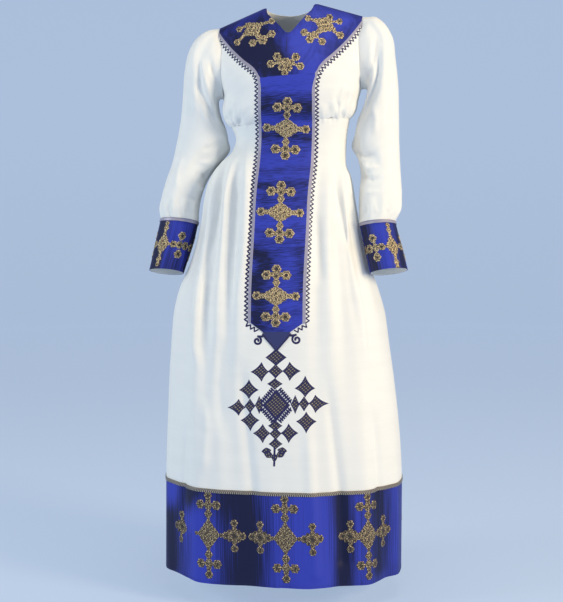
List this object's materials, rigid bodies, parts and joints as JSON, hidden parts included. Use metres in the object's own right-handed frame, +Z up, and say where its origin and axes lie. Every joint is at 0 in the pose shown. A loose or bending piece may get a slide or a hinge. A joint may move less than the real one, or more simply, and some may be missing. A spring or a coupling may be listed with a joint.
{
  "type": "habesha kemis dress",
  "caption": "Long white cotton dress with full sleeves, a blue brocade yoke, centre band, cuffs and hem band, in worn form.",
  "frame": {"origin": "midway between the tops of the two shoulders, where the dress hangs from its wearer", "axes": "+Z up towards the head, -Y towards the front of the dress, +X towards the wearer's left"},
  "size_m": [0.6308, 0.4209, 1.3754],
  "materials": {
    "white_cotton": "soft gauzy weave",
    "blue_brocade": "ribbed sheen",
    "plain_blue": "matt",
    "silver_ribbon": "metallic thread",
    "braid": "metallic thread"
  },
  "bodies": {
    "root": {"midriff_front": "white_cotton", "midriff_back": "white_cotton", "skirt_front": "white_cotton", "skirt_back": "white_cotton", "bodice_front": "white_cotton", "bodice_back": "white_cotton", "sleeve_right": "white_cotton", "sleeve_left": "white_cotton", "hem_band_front": "blue_brocade", "hem_band_back": "blue_brocade", "yoke": "blue_brocade", "centre_band": "blue_brocade", "cuff_right": "blue_brocade", "cuff_left": "blue_brocade", "band_tip": "plain_blue", "band_ribbon_right": "silver_ribbon", "band_ribbon_left": "silver_ribbon", "yoke_ribbon_right": "silver_ribbon", "yoke_ribbon_left": "silver_ribbon", "cuff_ribbon_right": "silver_ribbon", "cuff_ribbon_left": "silver_ribbon", "hem_braid": "braid"}
  },
  "joints": []
}
